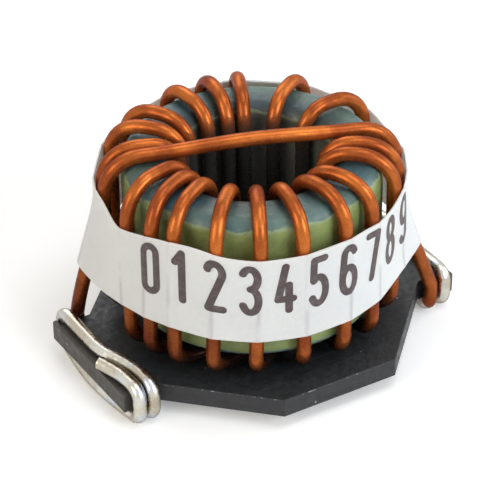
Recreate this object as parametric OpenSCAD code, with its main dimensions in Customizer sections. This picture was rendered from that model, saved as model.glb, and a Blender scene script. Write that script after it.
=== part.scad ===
// Surface mount power inductor: a ring core wound with one layer of enamelled wire and seated on an
// eight-sided laminate base. The wire's tinned ends are lapped round a tab at each end of the base and
// make the solder feet. A paper band goes round the coil.
// Millimetres, +Z up. The board is the plane z = 0, the middle of the base is on the Z axis, and the two
// terminals lie along X. Angles are degrees from +X round the core's axis, anticlockwise seen from above.

/* [Core] */
// Outside diameter of the coated ring core
core_od = 20.2; // [18:0.1:22]
// Diameter of the hole through the core
core_hole_d = 12.6; // [12:0.1:14]
// Height of the core
core_h = 12.5; // [9:0.1:16]
// Radius of the core's coated edges
core_edge_r = 1.1; // [0.5:0.1:1.5]
// Distance from the middle of the base to the core's axis, towards the first terminal
core_shift = 0.175; // [0:0.025:0.3]

/* [Wire] */
// Diameter of the wire over its enamel
wire_d = 1.14; // [0.9:0.02:1.3]
// Gap between the core's underside and the wire beneath it
wire_gap = 0.08; // [0.05:0.01:0.2]
// Gap between the wall of the hole and the wire
hole_gap = 0.21; // [0.1:0.01:0.25]
// Gap between the core's top and the turns over it
turn_rise = 0.28; // [0.1:0.02:0.36]
// Gap between the core's outer wall and the nearest wire runs, at the front
run_gap = 0.2; // [0.05:0.05:0.4]
// Radius of the wire's centre line where it turns over the core's upper outer edge
outer_bend_r = 2.8; // [1.8:0.1:3]
// Radius of the wire's centre line where it turns under the core
under_bend_r = 1.7; // [1.4:0.1:2]
// Radius of the wire's centre line where it turns into the hole
inner_bend_r = 2.2; // [1.4:0.1:2.4]
// Radius of the wire's centre line where it turns to cross the hole
cross_bend_r = 2.9; // [2:0.1:3.2]
// Height that the wire crossing the hole rises above the turns beside it
cross_rise = 0.35; // [0.2:0.05:1]
// Flat sides that make the round wire
wire_sides = 10; // [6:2:16]

/* [Base] */
// Length of the eight-sided base between the flats that carry the tabs
base_l = 25.15; // [24:0.05:27]
// Width of the base the other way
base_w = 25.4; // [24:0.1:27]
// Width of the base across its cut corners
base_diag = 24.75; // [24:0.05:26]
// Tilt of the base's two long sides out of square
side_tilt = 2.1; // [0:0.1:4]
// Thickness of the base sheet
base_t = 1.6; // [1:0.1:2.4]
// Gap between the base and the wire under the core
seat_gap = 0.4; // [0.05:0.05:0.5]

/* [Terminals] */
// Reach of each tab past the base's flat
tab_reach = 2.6; // [2.6:0.1:4]
// Width of each tab
tab_w = 10.6; // [8:0.1:11]
// Length of the lip that holds the wire in at one end of the tab
lip_l = 0.75; // [0.5:0.05:1]
// Bend radius of the wire's centre line round the tab's ends
lap_bend_r = 0.9; // [0.8:0.05:0.95]
// Gap between the wire and the tab's ends
lap_end_gap = 0.24; // [0.24:0.02:0.4]
// Gap between the wire and the tab's flat faces
lap_gap = 0.03; // [0.02:0.01:0.06]
// Gap between the laps side by side at the tab's plain end
lane_gap = 0.05; // [0.03:0.01:0.08]
// Gap between the lead and the lap beside it at the tab's lip
lead_gap = 0.19; // [0.18:0.01:0.2]
// Drift of the laps away from the coil between the lip and the plain end
lap_drift = 0.23; // [0.2:0.01:0.25]
// Distance from the tab's middle to the cut end of the wire, towards the lip
cut_y = -1.35; // [-2.5:0.05:-1]
// Sideways spring of the wire's cut end
cut_splay = 0.74; // [0.7:0.02:1]

/* [Label] */
// Width of the paper band
label_h = 7.5; // [4:0.1:8]
// Thickness of the paper
label_t = 0.12; // [0.08:0.01:0.2]
// Gap between the band and the wire that it wraps
label_gap = 0.12; // [0.1:0.01:0.2]
// Tilt of the band, up at the back
label_tilt = 2.4; // [0:0.1:5]
// Height of the band's middle above the core's middle
label_rise = 0.95; // [-1:0.05:1]
// Angle at which the band's two ends overlap
label_lap_a = 58; // [0:1:360]
// Angle that the overlap covers
label_lap_w = 22; // [6:1:40]

/* [Hidden] */

// Where each turn passes through the hole and then down the core's outer wall, in winding order.
// The coil is wound by hand, so the turns are unevenly spaced.
HOLE_AIM = [12, 40, 64, 77.5, 96, 119, 134.5, 151, 176,
    189, 204, 223.5, 240.5, 256, 275, 289, 311.5, 324];
RUN_A = [7, 36, 64.5, 79, 95, 118.5, 133, 153.5, 183.5, 197, 207, 224, 241, 258, 277.5, 293, 315.5, 325];
// How far each run leans along the wall on its way down
RUN_LEAN = [0, 0, 0, 0, 0, 0, 0, 0, 0, -2.3, -0.8, -1.9, -2.1, 0.5, 0, 1.7, 0, 0];
// Where the wire that crosses the hole comes up, at the first terminal, and goes down again
CROSS_UP_A = 160.8;
CROSS_DOWN_A = -21.5;
// Extra gap between the core and the runs at 0, 90, 180 and 270 degrees, where the sprung wire stands off
RUN_SPRING = [0.5, 0.4, 0.7, 0];
// Pull of each lead's middle away from its foot, which shapes its way out to the tab
FIRST_PULL = [-0.55, -1.9, 0];
SECOND_PULL = [1.4, -0.25, 0];
// Direction of the side of the band that is tilted up
LABEL_HIGH_A = 58;

wire_r = wire_d / 2;
turns = len(RUN_A);

// Heights, from the board up
base_z = wire_d + lap_gap;
base_top = base_z + base_t;
core_z = base_top + seat_gap + wire_d + wire_gap;
core_top = core_z + core_h;

// Centre line of the wire round the core
hole_r = core_hole_d / 2 - hole_gap - wire_r;
function share(s) = pow(max(0, s), 2);
function run_gap_at(a) =
    run_gap + RUN_SPRING * [share(cos(a)), share(sin(a)), share(-cos(a)), share(-sin(a))];
function run_r(a) = core_od / 2 + run_gap_at(a) + wire_r;

// A bend over the core's rounded edge is limited to the radius that just clears it, where the wire leaves
// the core's face with the gap g and reaches the wall with the gap h
bend_clear = 0.03;
function clear_bend_r(g, h) =
    let (sum = g + h - bend_clear,
         square = g * g + h * h - bend_clear * bend_clear)
    core_edge_r + wire_r + sum + sqrt(max(0, sum * sum - square));
function outer_bend(a) = min(outer_bend_r, clear_bend_r(turn_rise, run_gap_at(a)));
function under_bend(a) = min(under_bend_r, clear_bend_r(wire_gap, run_gap_at(a)));
function inner_bend(face_gap) = min(inner_bend_r, clear_bend_r(face_gap, hole_gap));
low_z = core_z - wire_gap - wire_r;
high_z = core_top + turn_rise + wire_r;

// Lanes that the laps take on the first terminal's tab, which lies on the -X side. Each is a distance
// from the middle of the base, at the tab's lip or at its plain end.
base_flat = base_l / 2;
tab_x = base_flat + tab_reach;
tab_end = tab_w / 2;
lane_margin = 0.25;
lip_lane_in = base_flat + lane_margin;
lip_lane_out = lip_lane_in + wire_d + lead_gap;
end_lane_in = lip_lane_in + lap_drift;
end_lane_out = end_lane_in + wire_d + lane_gap;
lip_x = lip_lane_out + wire_r + lap_gap;
lip_bevel = 0.15;
// Centre lines of the laps under the tab and on top of it, and the centre of the bends round its ends
lap_low = wire_r;
lap_high = base_top + lap_gap + wire_r;
lap_y = tab_end + lap_end_gap + wire_r - lap_bend_r;
lap_up = lap_low + lap_bend_r;
lap_down = lap_high - lap_bend_r;

bend_steps = 4;
under_steps = 3;
lap_steps = 5;
label_steps = 144;
label_rows = 6;

// ---- Vectors ----

function unit(v) = v / norm(v);
// A point at radius r from the core's axis, in the direction a
function polar(r, a, z) = [r * cos(a) - core_shift, r * sin(a), z];
function mix(a, b, s) = a + (b - a) * s;
function reversed(list) = [for (i = [len(list) - 1 : -1 : 0]) list[i]];
function half_turn(list) = [for (p = list) [-p.x, -p.y, p.z]];
// Ease from 0 to 1 with level ends
function ease(s) = let (c = min(1, max(0, s))) c * c * (3 - 2 * c);
function bezier(a, b, c, d, s) =
    a * pow(1 - s, 3) + b * 3 * s * pow(1 - s, 2) + c * 3 * s * s * (1 - s) + d * pow(s, 3);

// ---- Wire sweep ----

// A normal for each point of a path, carried along it without twist
function path_normals(path, tangents) =
    [for (i = 0, n = unit(cross(tangents[0], [0.3, 0.5, 0.8]));
          i < len(path);
          i = i + 1,
          n = i < len(path) ? unit(n - tangents[i] * (n * tangents[i])) : n) n];

// A round wire along a path of points
module wire_along(path) {
    last = len(path) - 1;
    tangents = [for (i = [0 : last]) unit(path[min(i + 1, last)] - path[max(i - 1, 0)])];
    normals = path_normals(path, tangents);
    rings = [for (i = [0 : last])
        let (u = normals[i], v = cross(tangents[i], u))
        for (k = [0 : wire_sides - 1])
            let (a = 360 * k / wire_sides)
            path[i] + wire_r * (cos(a) * u + sin(a) * v)];
    walls = [for (i = [0 : last - 1], k = [0 : wire_sides - 1])
        let (a = i * wire_sides + k,
             b = i * wire_sides + (k + 1) % wire_sides)
        each [[a, b + wire_sides, b], [a, a + wire_sides, b + wire_sides]]];
    start_cap = [for (k = [0 : wire_sides - 1]) k];
    end_cap = [for (k = [wire_sides - 1 : -1 : 0]) last * wire_sides + k];
    polyhedron(points = rings, faces = concat([start_cap], walls, [end_cap]), convexity = 12);
}

// ---- Turns round the core ----

// Smallest angle between two wires that lie side by side in the hole
hole_pitch = 2 * asin((wire_d + lap_gap) / 2 / hole_r);
// The aimed angles, pushed apart first forwards and then back until no two wires overlap
hole_fwd = [for (i = 0, a = HOLE_AIM[0];
                 i < turns;
                 i = i + 1,
                 a = i < turns ? max(HOLE_AIM[i], a + hole_pitch) : a) a];
hole_limit = hole_fwd[0] + 360 - hole_pitch;
hole_back = [for (i = turns - 1, a = min(hole_fwd[turns - 1], hole_limit);
                  i >= 0;
                  i = i - 1,
                  a = i >= 0 ? min(hole_fwd[i], a - hole_pitch) : a) a];
hole_a = reversed(hole_back);

// Angle of the wire at radius r on its way between the hole and the outer run. Over the core it changes
// evenly. Beneath the core it changes in the middle of the way, so that the runs come down upright.
function span_a(r, inner_a, outer_a, beneath) =
    let (s = (r - hole_r) / (run_r(outer_a) - hole_r))
    mix(inner_a, outer_a, beneath ? ease(s) : s);

// A quarter bend at one end of that way, as points on the centre line
function bend(r, z, bend_r, from_a, to_a, inner_a, outer_a, beneath = false) =
    [for (k = [0 : bend_steps])
        let (a = mix(from_a, to_a, k / bend_steps),
             r_k = r + bend_r * cos(a))
        polar(r_k, span_a(r_k, inner_a, outer_a, beneath), z + bend_r * sin(a))];

// Angle of the foot of the run that comes before hole i
function foot_a(i) = i == 0 ? CROSS_DOWN_A : RUN_A[i - 1] + RUN_LEAN[i - 1];

// From the foot of the run before hole i, beneath the core and up into the hole
function way_beneath(i) =
    let (from_r = under_bend(foot_a(i)),
         to_r = inner_bend(wire_gap),
         outer = run_r(foot_a(i)) - from_r,
         inner = hole_r + to_r)
    concat(
        bend(outer, low_z + from_r, from_r, 0, -90, hole_a[i], foot_a(i), true),
        [for (k = [1 : under_steps - 1])
            let (r = mix(outer, inner, k / under_steps))
            polar(r, span_a(r, hole_a[i], foot_a(i), true), low_z)],
        bend(inner, low_z + to_r, to_r, -90, -180, hole_a[i], foot_a(i), true));
function bend_out_of_hole(i) =
    let (r = inner_bend(turn_rise))
    bend(hole_r + r, high_z - r, r, 180, 90, hole_a[i], RUN_A[i]);
function bend_over_edge(i) =
    let (r = outer_bend(RUN_A[i]))
    bend(run_r(RUN_A[i]) - r, high_z - r, r, 90, 0, hole_a[i], RUN_A[i]);

// Each turn goes beneath the core, up through the hole and over the core to the outer wall. The last one
// stops at the outer edge, where it becomes the lead to the second terminal.
coil = [for (i = [0 : turns - 1]) each concat(
    way_beneath(i),
    bend_out_of_hole(i),
    bend_over_edge(i))];

// ---- The wire that crosses the hole ----

cross_steps = 10;
cross_from = polar(run_r(CROSS_UP_A), CROSS_UP_A, high_z);
cross_to = polar(run_r(CROSS_DOWN_A), CROSS_DOWN_A, high_z);
cross_dir = unit(cross_to - cross_from);

// A quarter bend from the outer run into the crossing, seen from the outer end
function cross_bend(corner, dir) =
    [for (k = [0 : bend_steps])
        let (a = 90 * k / bend_steps)
        corner + dir * cross_bend_r * (1 - cos(a)) + [0, 0, cross_bend_r * (sin(a) - 1)]];

function cross_span() =
    let (a = cross_from + cross_dir * cross_bend_r,
         b = cross_to - cross_dir * cross_bend_r)
    [for (k = [1 : cross_steps - 1])
        let (s = k / cross_steps)
        mix(a, b, s) + [0, 0, cross_rise * pow(sin(180 * s), 2)]];

crossing = concat(
    cross_bend(cross_from, cross_dir),
    cross_span(),
    reversed(cross_bend(cross_to, -cross_dir)));

// ---- Leads and terminals ----

// From the outer edge of the core down to the top of the tab's end, springing outwards on the way. The
// first control point hangs below the top and the second stands above the foot.
lead_steps = 9;
lead_top = high_z - max(outer_bend_r, cross_bend_r);
lead_foot = [-lip_lane_in, lap_y + lap_bend_r, base_top];
lead_drop = 0.3 * (lead_top - base_top);
lead_stand = 0.35 * (lead_top - base_top);
function lead(top, pull) =
    [for (k = [1 : lead_steps])
        bezier(top, top - [0, 0, lead_drop], lead_foot + pull + [0, 0, lead_stand], lead_foot,
               k / lead_steps)];
function run_top(a) = polar(run_r(a), a, lead_top);

// Both leads are laid out at the first terminal, and the second one is turned to the other side later
first_top = run_top(CROSS_UP_A);
second_top = half_turn([run_top(RUN_A[turns - 1])])[0];
first_lead = lead(first_top, FIRST_PULL);
second_lead = lead(second_top, SECOND_PULL);

// A quarter bend round an end of the tab, in the lane x
function lap_bend(x, y, z, from_a, to_a) =
    [for (k = [0 : lap_steps])
        let (a = mix(from_a, to_a, k / lap_steps))
        [-x, y + lap_bend_r * cos(a), z + lap_bend_r * sin(a)]];

// The first lap along the tab's top drifts from the inner lane to the outer one between two places
lap_span_steps = 8;
drift_from_y = -4.4;
drift_to_y = 0.8;
function drift_x(y) =
    mix(end_lane_in, lip_lane_out, ease((y - drift_from_y) / (drift_to_y - drift_from_y)));

// Underneath the tab, round its plain end, back along the top, round the lip's end, underneath once more,
// round the plain end and along the top to the cut end
laps = concat(
    lap_bend(lip_lane_in, lap_y, lap_up, 0, -90),
    lap_bend(end_lane_in, -lap_y, lap_up, -90, -180),
    lap_bend(end_lane_in, -lap_y, lap_down, 180, 90),
    [for (k = [1 : lap_span_steps - 1])
        let (y = mix(-lap_y, lap_y, k / lap_span_steps))
        [-drift_x(y), y, lap_high]],
    lap_bend(lip_lane_out, lap_y, lap_down, 90, 0),
    lap_bend(lip_lane_out, lap_y, lap_up, 0, -90),
    lap_bend(end_lane_out, -lap_y, lap_up, -90, -180),
    lap_bend(end_lane_out, -lap_y, lap_down, 180, 90),
    [for (k = [1 : lap_span_steps])
        let (s = k / lap_span_steps)
        [-end_lane_out - cut_splay * s * s, mix(-lap_y, cut_y, s), lap_high]]);

first_terminal = concat(first_lead, laps);
second_terminal = half_turn(concat(second_lead, laps));

module winding() {
    color("chocolate")
        wire_along(concat(reversed(first_terminal), crossing, coil, second_terminal));
}

// ---- Core ----

module core_section() {
    wall = (core_od - core_hole_d) / 2;
    translate([core_hole_d / 2, core_z]) {
        translate([core_edge_r, 0])
            square([wall - 2 * core_edge_r, core_h]);
        translate([0, core_edge_r])
            square([wall, core_h - 2 * core_edge_r]);
        for (x = [core_edge_r, wall - core_edge_r], y = [core_edge_r, core_h - core_edge_r])
            translate([x, y])
                circle(r = core_edge_r, $fn = 48);
    }
}

module core() {
    color("darkseagreen")
        translate([-core_shift, 0, 0])
            rotate_extrude($fn = 120)
                core_section();
}

// ---- Base ----

// A rectangle with cut corners, as half its outline: from the +Y side round the -X side, which has the
// first terminal's tab with the lip past its end, to the -Y side
corner_sum = base_diag / 2 * sqrt(2);
side_corner = [corner_sum - base_w / 2, -base_w / 2];
side_l = 2 * side_corner.x / (cos(side_tilt) - sin(side_tilt));
tab_root = min(base_flat, corner_sum - tab_end);
corner_y = corner_sum - base_flat;
corner = corner_y > tab_end ? [[-base_flat, corner_y]] : [];
tab = [
    [-tab_root, tab_end],
    [-lip_x, tab_end],
    [-lip_x, tab_end + lip_l],
    [-tab_x + lip_bevel, tab_end + lip_l],
    [-tab_x, tab_end + lip_l - lip_bevel],
    [-tab_x, -tab_end],
    [-tab_root, -tab_end]];
half_outline = concat(
    [-side_corner],
    corner,
    tab,
    [for (p = corner) [p.x, -p.y]],
    [side_corner + side_l * [-cos(side_tilt), sin(side_tilt)]]);

module base() {
    color("dimgray")
        translate([0, 0, base_z])
            linear_extrude(base_t)
                polygon(concat(half_outline, [for (p = half_outline) -p]));
}

// ---- Label ----

// The band follows the outside of everything that it wraps: the outer runs, and the leads on their way out
label_z = core_z + core_h / 2 + label_rise;
label_row_z = [for (k = [0 : label_rows - 1]) label_z + label_h * (k / (label_rows - 1) - 0.5)];
label_a = [for (k = [0 : label_steps - 1]) 360 * k / label_steps];

// Plan position of a lead at height z, on the line of its points
function at_height(path, z) =
    [lookup(z, [for (p = path) [p.z, p.x]]), lookup(z, [for (p = path) [p.z, p.y]])];

// Angle of the run before hole i at height z, between its foot and its top
function run_a_at(i, z) =
    i == 0 ? CROSS_DOWN_A
    : mix(foot_a(i), RUN_A[i - 1],
          (z - low_z - under_bend_r) / (high_z - outer_bend_r - low_z - under_bend_r));
leads = [concat([first_top], first_lead), half_turn(concat([second_top], second_lead))];
function wrapped_at(z) = concat(
    [for (path = leads) at_height(path, z) + [core_shift, 0]],
    [for (i = [0 : turns - 1]) let (a = run_a_at(i, z)) run_r(a) * [cos(a), sin(a)]]);

// How far the wrapped wires reach in each direction of label_a at height z, with the gap to the band
function reaches(z) =
    let (wires = wrapped_at(z))
    [for (a = label_a) max([for (p = wires) p * [cos(a), sin(a)]]) + wire_r + label_gap];
// Distance from the core's axis to a band stretched round them, in direction i of label_a. The reach of
// directions up to a sixth of a turn away limits it.
label_fan = floor(label_steps / 6);
function band_r(reach, i) =
    min([for (k = [-label_fan : label_fan])
        reach[(i + k + label_steps) % label_steps] / cos(360 * k / label_steps)]);
function in_lap(a) = abs((a - label_lap_a + 540) % 360 - 180) < label_lap_w / 2;

module label() {
    inner = [for (z = label_row_z)
        let (reach = reaches(z))
        [for (i = [0 : label_steps - 1]) band_r(reach, i)]];
    tilt = tan(label_tilt) * [cos(LABEL_HIGH_A), sin(LABEL_HIGH_A)];
    // Up the inner face and down the outer face, as a row number and a distance outwards
    rim = concat(
        [for (k = [0 : label_rows - 1]) [k, 0]],
        [for (k = [label_rows - 1 : -1 : 0]) [k, label_t]]);
    m = len(rim);
    points = [for (i = [0 : label_steps - 1], s = rim)
        let (r = inner[s[0]][i] + s[1] * (in_lap(label_a[i]) ? 2 : 1),
             p = r * [cos(label_a[i]), sin(label_a[i])])
        [p.x, p.y, label_row_z[s[0]] + p * tilt]];
    walls = [for (i = [0 : label_steps - 1], k = [0 : m - 1])
        let (a = i * m + k,
             b = i * m + (k + 1) % m,
             c = ((i + 1) % label_steps) * m + (k + 1) % m,
             d = ((i + 1) % label_steps) * m + k)
        each [[a, c, b], [a, d, c]]];
    color("white")
        translate([-core_shift, 0, 0])
            polyhedron(points = points, faces = walls, convexity = 6);
}

base();
core();
winding();
label();
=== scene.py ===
"""Surface mount power inductor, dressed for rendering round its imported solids.

A ring core carries one layer of enamelled wire and sits on an eight-sided laminate base. The wire's tinned
ends are lapped round a tab at each end of the base, and a paper band goes round the coil. Sizes in the
classes are millimetres and degrees. Everything that reaches Blender is in metres.
"""
import logging
import math
from collections.abc import Iterator
from contextlib import contextmanager
from dataclasses import dataclass, field
from enum import Enum

import bmesh
import bpy
import numpy as np
from mathutils import Matrix, Vector


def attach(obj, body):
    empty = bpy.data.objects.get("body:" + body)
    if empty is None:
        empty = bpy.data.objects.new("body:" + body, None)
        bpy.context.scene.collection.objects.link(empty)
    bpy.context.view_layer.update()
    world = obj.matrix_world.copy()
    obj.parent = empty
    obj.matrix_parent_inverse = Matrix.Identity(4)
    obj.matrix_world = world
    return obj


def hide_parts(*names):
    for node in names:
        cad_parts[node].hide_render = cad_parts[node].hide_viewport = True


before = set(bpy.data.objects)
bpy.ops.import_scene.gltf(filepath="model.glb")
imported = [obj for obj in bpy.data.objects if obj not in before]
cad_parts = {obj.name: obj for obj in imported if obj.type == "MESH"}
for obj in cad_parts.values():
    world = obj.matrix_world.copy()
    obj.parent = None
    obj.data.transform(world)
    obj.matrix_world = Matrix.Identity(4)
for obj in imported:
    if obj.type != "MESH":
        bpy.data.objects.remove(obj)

MM = 0.001
LOG = logging.getLogger("inductor")

Point = tuple[float, float, float]
Span = tuple[float, float]
Points = np.ndarray
Socket = bpy.types.NodeSocket

WHITE: Point = (1.0, 1.0, 1.0)
HOLE_SIDE: Span = (6.35, 6.85)  # Distances from the Z axis over which the shade in the hole ends
HALF_DEGREES = 720  # Half degrees in a turn


class Slot(Enum):
    """Names of the material slots for the base, wire, tinned ends, label and print."""

    BASE = "base"
    WIRE = "wire"
    TINNED = "tinned"
    LABEL = "label"
    PRINT = "print"


class Terminal(Enum):
    """The two ends of the wire: the first on the -X side, the second half a turn round from it."""

    FIRST = "first"
    SECOND = "second"

    def placed(self, path: list[Points]) -> list[Points]:
        """A path of the -X side brought to this end, or this end's path brought to the -X side."""
        return path if self is Terminal.FIRST else [p * (-1.0, -1.0, 1.0) for p in path]


# Small geometry helpers
# ----------------------


def polar(radius: float, angle: float, z: float) -> Points:
    """Point at a radius and an angle in degrees round an upright axis."""
    a = math.radians(angle)
    return np.array([radius * math.cos(a), radius * math.sin(a), z])


def outward(azimuth: float, elevation: float) -> Vector:
    """Direction out from the coil, at an angle from -Y towards +X and an angle over the board."""
    a, e = math.radians(azimuth), math.radians(elevation)
    return Vector((math.sin(a) * math.cos(e), -math.cos(a) * math.cos(e), math.sin(e)))


def mix(a: float | Points, b: float | Points, share: float) -> float | Points:
    """Value or point a share of the way from a to b."""
    return a + (b - a) * share


def ease(share: float) -> float:
    """Ease from 0 to 1 with level ends."""
    c = min(1.0, max(0.0, share))
    return c * c * (3 - 2 * c)


def shares(steps: int) -> list[float]:
    """Even shares from 0 to 1, with both ends."""
    return [k / steps for k in range(steps + 1)]


def filled(path: list[Points], longest: float) -> list[Points]:
    """Puts points into a path, so that none of its steps is too long.

    Args:
        path: The path's points.
        longest: Length of the longest step.

    Returns:
        The path with its new points.
    """
    out = [path[0]]
    for a, b in zip(path, path[1:]):
        parts = max(1, math.ceil(float(np.linalg.norm(b - a)) / longest))
        out += [mix(a, b, share) for share in shares(parts)[1:]]
    return out


def linked(name: str, data: bpy.types.ID) -> bpy.types.Object:
    """Makes an object at the origin and links it to the scene.

    Args:
        name: The object's name.
        data: Its mesh, lamp or camera.

    Returns:
        The object.
    """
    obj = bpy.data.objects.new(name, data)
    bpy.context.scene.collection.objects.link(obj)
    return obj


def mesh_object(name: str, verts: Points, faces: list[tuple[int, ...]],
                smooth: bool = True) -> bpy.types.Object:
    """Makes a mesh object at the origin.

    Args:
        name: The object's name.
        verts: Points in millimetres.
        faces: Corner numbers of each face, outwards by the right hand.
        smooth: Whether the faces are shaded smooth.

    Returns:
        The linked object.
    """
    mesh = bpy.data.meshes.new(name)
    mesh.from_pydata((np.asarray(verts) * MM).tolist(), [], faces)
    mesh.validate()
    mesh.polygons.foreach_set("use_smooth", [smooth] * len(mesh.polygons))
    mesh.update()
    return linked(name, mesh)


@contextmanager
def editing(mesh: bpy.types.Mesh) -> Iterator[bmesh.types.BMesh]:
    """Opens a mesh for editing, and writes it back at the end.

    Args:
        mesh: The mesh.

    Yields:
        The mesh's editable form.
    """
    work = bmesh.new()
    work.from_mesh(mesh)
    yield work
    work.to_mesh(mesh)
    work.free()


def link_material(obj: bpy.types.Object, material: bpy.types.Material) -> None:
    """Makes a material the only one on an object."""
    obj.data.materials.clear()
    obj.data.materials.append(material)


# Node building
# -------------


def add_node(tree: bpy.types.NodeTree, kind: str, inputs: dict[str | int, object], output: str | int = 0,
             **settings: str) -> Socket:
    """Adds a node to a tree.

    Args:
        tree: The tree.
        kind: The node's type.
        inputs: What each input takes: a plain value, or the socket that is linked to it.
        output: The output that is wanted, by its name or number.
        **settings: The node's own settings.

    Returns:
        The wanted output.
    """
    node = tree.nodes.new(kind)
    for name, value in settings.items():
        setattr(node, name, value)
    for key, value in inputs.items():
        if isinstance(value, Socket):
            tree.links.new(value, node.inputs[key])
        else:
            node.inputs[key].default_value = value
    return node.outputs[output]


@dataclass(frozen=True)
class Grain:
    """A noise pattern, and the range of its values that is spread out from nought to one.

    Attributes:
        scale: Lumps per metre.
        detail: Octaves.
        rough: Weight of the finer octaves.
        low: Value that becomes nought.
        high: Value that becomes one.
    """

    scale: float
    detail: float = 3.0
    rough: float = 0.5
    low: float = 0.3
    high: float = 0.7


class Shader:
    """A procedural material under construction, in Object coordinates."""

    def __init__(self, name: str) -> None:
        """Starts a material with one Principled shader.

        Args:
            name: The material's name.
        """
        self.material = bpy.data.materials.new(name)
        self.material.use_nodes = True
        self.tree = self.material.node_tree
        self.surface = self.tree.nodes["Principled BSDF"]
        self.coords = self.add("ShaderNodeTexCoord", {}, "Object")
        self.x = self.add("ShaderNodeSeparateXYZ", {"Vector": self.coords}, "X")
        self.z = self.add("ShaderNodeSeparateXYZ", {"Vector": self.coords}, "Z")
        flat = self.add("ShaderNodeVectorMath", {0: self.coords, 1: (1.0, 1.0, 0.0)}, operation="MULTIPLY")
        self.r = self.add("ShaderNodeVectorMath", {0: flat}, "Value", operation="LENGTH")

    def add(self, kind: str, inputs: dict[str | int, object], output: str | int = 0,
            **settings: str) -> Socket:
        """Adds a node to the material, by the same arguments as add_node."""
        return add_node(self.tree, kind, inputs, output, **settings)

    def put(self, **values: float | tuple[float, ...]) -> None:
        """Sets the Principled shader's own sockets, named with underscores for spaces."""
        for name, value in values.items():
            self.surface.inputs[name.replace("_", " ")].default_value = value

    def feed(self, socket: str, source: Socket) -> None:
        """Links a pattern to one of the Principled shader's sockets."""
        self.tree.links.new(source, self.surface.inputs[socket])

    def noise(self, grain: Grain, coords: Socket | None = None) -> Socket:
        """A noise pattern's own values, in Object coordinates or in those given."""
        inputs = {"Scale": grain.scale, "Detail": grain.detail, "Roughness": grain.rough}
        return self.add("ShaderNodeTexNoise", {"Vector": coords or self.coords, **inputs}, "Fac")

    def grain(self, grain: Grain, start: float = 0.0, stop: float = 1.0,
              coords: Socket | None = None) -> Socket:
        """A noise pattern whose range is spread out from start to stop."""
        return self.span(self.noise(grain, coords), grain.low, grain.high, start, stop)

    def stretched(self, scale: Point, turn_z: float = 0.0) -> Socket:
        """Object coordinates stretched along the axes, for grain that has a direction."""
        turn = (0.0, 0.0, math.radians(turn_z))
        return self.add("ShaderNodeMapping", {"Vector": self.coords, "Scale": scale, "Rotation": turn})

    def span(self, source: Socket, low: float, high: float, start: float = 0.0, stop: float = 1.0) -> Socket:
        """A value's range from low to high spread smoothly from start to stop, and held at its ends."""
        inputs = {"Value": source, "From Min": low, "From Max": high, "To Min": start, "To Max": stop}
        return self.add("ShaderNodeMapRange", inputs, interpolation_type="SMOOTHSTEP")

    def fade(self, place: Socket, stretch: Span, start: float = 1.0, stop: float = 0.0) -> Socket:
        """A value that goes smoothly from start to stop over a stretch of places in millimetres."""
        return self.span(place, stretch[0] * MM, stretch[1] * MM, start, stop)

    def calc(self, kind: str, a: Socket | float, b: Socket | float = 0.0) -> Socket:
        """The result of an operation on one or two values."""
        return self.add("ShaderNodeMath", {0: a, 1: b}, operation=kind)

    def times(self, a: Socket, b: Socket | float) -> Socket:
        """The product of two values."""
        return self.calc("MULTIPLY", a, b)

    def off(self, place: Socket, middle: float) -> Socket:
        """How far a place lies from a middle, which is given in millimetres."""
        return self.calc("ABSOLUTE", self.calc("SUBTRACT", place, middle * MM))

    def blend(self, share: Socket, a: Socket | Point, b: Socket | Point) -> Socket:
        """A colour between a and b, by the share of b."""
        first, second = (c if isinstance(c, Socket) else (*c, 1.0) for c in (a, b))
        return self.add("ShaderNodeMix", {"Factor": share, 6: first, 7: second}, 2, data_type="RGBA")

    def sheltered(self, heights: Span) -> Socket:
        """Share of shade: one in the hole below both heights, nought over them and outside the hole."""
        return self.times(self.fade(self.z, heights), self.fade(self.r, HOLE_SIDE))

    def bump(self, height: Socket, depth: float) -> None:
        """Presses a height pattern into the surface to a depth in millimetres."""
        self.feed("Normal", self.add("ShaderNodeBump", {"Distance": depth * MM, "Height": height}))


# Finishes
# --------


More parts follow.
